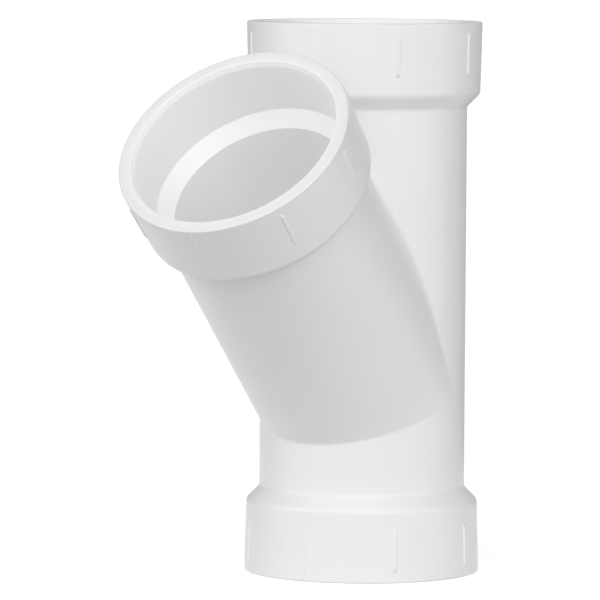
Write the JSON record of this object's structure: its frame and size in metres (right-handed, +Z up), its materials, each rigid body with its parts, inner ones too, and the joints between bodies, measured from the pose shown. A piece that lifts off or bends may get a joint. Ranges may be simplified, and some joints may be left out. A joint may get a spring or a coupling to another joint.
{
  "type": "lateral wye pipe fitting",
  "caption": "White plastic lateral wye: a straight run with a branch that leans off it at 45 degrees, and a thick hub at each mouth with a socket that a plain pipe end is glued into.",
  "frame": {"origin": "centre of the lower mouth, in the plane of its rim, which the fitting stands on", "axes": "+Z up along the run's centre line; the branch leans up and out towards -X; the XZ plane is the plane of symmetry and the mould's parting plane"},
  "size_m": [0.1362, 0.0696, 0.1615],
  "materials": {
    "white_pvc": "smooth moulded, slightly glossy"
  },
  "bodies": {
    "root": {"wye_body": "white_pvc"}
  },
  "joints": []
}
